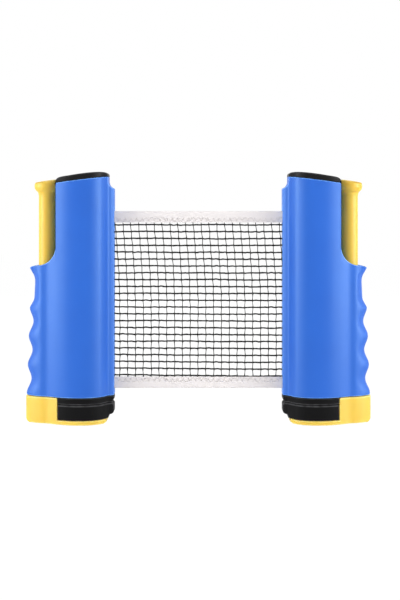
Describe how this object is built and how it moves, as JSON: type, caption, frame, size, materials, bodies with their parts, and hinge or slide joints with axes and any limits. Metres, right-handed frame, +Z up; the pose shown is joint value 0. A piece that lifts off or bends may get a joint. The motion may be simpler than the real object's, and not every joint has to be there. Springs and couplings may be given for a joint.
{
  "type": "retractable table tennis net with clamp posts",
  "caption": "Spring-roller net posts with squeeze-plunger table clamps and finger-groove grips, joined by a square-mesh table tennis net with taped edges.",
  "frame": {"origin": "on the ground plane under the feet, midway between the two posts and in the net's plane", "axes": "+X along the net towards the right post, +Y through the net towards the screwed rear sides, +Z up"},
  "size_m": [0.2754, 0.042, 0.199],
  "materials": {
    "blue_shell": "satin moulded plastic",
    "black_plastic": "satin moulded plastic",
    "rubber_pad": "matt rubber",
    "yellow_plastic": "satin moulded plastic",
    "steel": "bright zinc plate",
    "nylon": "plain moulded nylon",
    "net_cord": "knotless braided cord",
    "net_tape": "woven edge tape"
  },
  "bodies": {
    "left_post": {"left_front_shell": "blue_shell", "left_rear_shell": "blue_shell", "left_top_cap": "black_plastic", "left_upper_jaw_pad": "rubber_pad", "left_roller_arbor": "steel", "left_spring_anchor": "nylon", "left_net_feed": "net_cord", "left_clamp_spring": "steel", "left_spring_washer": "steel", "left_shell_screw_1": "steel", "left_shell_screw_2": "steel", "left_shell_screw_3": "steel", "left_shell_screw_4": "steel", "left_shell_screw_5": "steel", "left_shell_screw_6": "steel"},
    "net": {"net_mesh": "net_cord", "net_top_tape": "net_tape", "net_bottom_tape": "net_tape"},
    "right_post": {"right_front_shell": "blue_shell", "right_rear_shell": "blue_shell", "right_top_cap": "black_plastic", "right_upper_jaw_pad": "rubber_pad", "right_roller_arbor": "steel", "right_spring_anchor": "nylon", "right_net_feed": "net_cord", "right_clamp_spring": "steel", "right_spring_washer": "steel", "right_shell_screw_1": "steel", "right_shell_screw_2": "steel", "right_shell_screw_3": "steel", "right_shell_screw_4": "steel", "right_shell_screw_5": "steel", "right_shell_screw_6": "steel"},
    "left_roller": {"left_roller_tube": "nylon", "left_roller_lower_plug": "nylon", "left_roller_upper_plug": "nylon", "left_retract_spring": "steel", "left_net_roll": "net_cord"},
    "right_roller": {"right_roller_tube": "nylon", "right_roller_lower_plug": "nylon", "right_roller_upper_plug": "nylon", "right_retract_spring": "steel", "right_net_roll": "net_cord"},
    "left_clamp": {"left_clamp_foot": "yellow_plastic", "left_lower_jaw_pad": "rubber_pad", "left_squeeze_plunger": "yellow_plastic", "left_plunger_pin": "steel"},
    "right_clamp": {"right_clamp_foot": "yellow_plastic", "right_lower_jaw_pad": "rubber_pad", "right_squeeze_plunger": "yellow_plastic", "right_plunger_pin": "steel"}
  },
  "joints": [
    {"name": "left_net_draw", "type": "slide", "parent": "left_post", "child": "net", "axis": [1, 0, 0], "range_m": [0, 0.783], "stiffness_N_per_m": 5, "springref_m": -0.35},
    {"name": "right_net_draw", "type": "slide", "parent": "net", "child": "right_post", "axis": [1, 0, 0], "range_m": [0, 0.783]},
    {"name": "left_roller_spin", "type": "hinge", "parent": "left_post", "child": "left_roller", "pos_m": [-0.092, 0, 0.1], "axis": [0, 0, 1], "range_deg": [-4115, 0], "deforming": ["left_retract_spring"]},
    {"name": "right_roller_spin", "type": "hinge", "parent": "right_post", "child": "right_roller", "pos_m": [0.092, 0, 0.1], "axis": [0, 0, 1], "range_deg": [0, 4115], "deforming": ["right_retract_spring"]},
    {"name": "left_clamp_slide", "type": "slide", "parent": "left_post", "child": "left_clamp", "axis": [0, 0, -1], "range_m": [0, 0.04], "stiffness_N_per_m": 600, "springref_m": -0.02, "deforming": ["left_clamp_spring"]},
    {"name": "right_clamp_slide", "type": "slide", "parent": "right_post", "child": "right_clamp", "axis": [0, 0, -1], "range_m": [0, 0.04], "stiffness_N_per_m": 600, "springref_m": -0.02, "deforming": ["right_clamp_spring"]}
  ],
  "couplings": [
    {"joint": "right_net_draw", "follows": "left_net_draw", "ratio": 1},
    {"joint": "left_roller_spin", "follows": "left_net_draw", "rad_per_m": -91.7},
    {"joint": "right_roller_spin", "follows": "left_net_draw", "rad_per_m": 91.7}
  ]
}
